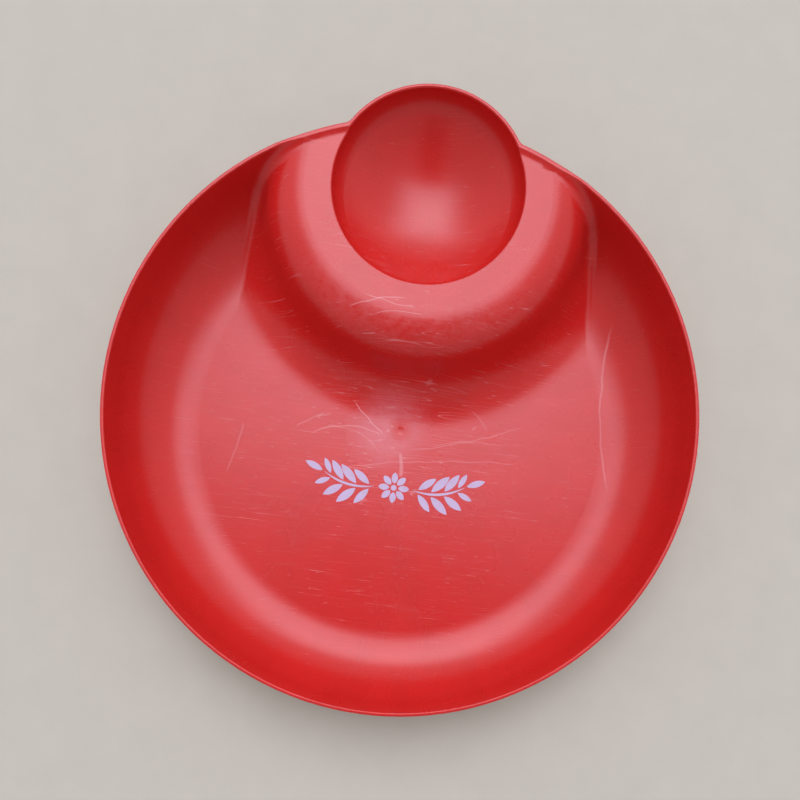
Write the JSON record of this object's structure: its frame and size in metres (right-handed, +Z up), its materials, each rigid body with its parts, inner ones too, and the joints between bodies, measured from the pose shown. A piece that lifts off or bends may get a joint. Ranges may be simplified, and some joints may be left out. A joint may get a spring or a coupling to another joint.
{
  "type": "moulded serving tray with dip cup",
  "caption": "Round one-piece moulded plastic serving tray with a dip cup let into its rim, a raised mound wrapped round the cup and a printed leaf motif on the flat floor.",
  "frame": {"origin": "middle of the footprint's box, on the surface that the foot ring stands on", "axes": "+Z up out of the bowl, +Y from the bowl towards the dip cup, +X to the right when the cup is at the far side"},
  "size_m": [0.3552, 0.3754, 0.05],
  "materials": {
    "red_plastic": "satin moulded plastic with fine rub marks",
    "print_ink": "thin pad-printed ink, pale lavender white"
  },
  "bodies": {
    "root": {"tray_shell": "red_plastic", "printed_sprigs": "print_ink", "printed_flower": "print_ink"}
  },
  "joints": []
}
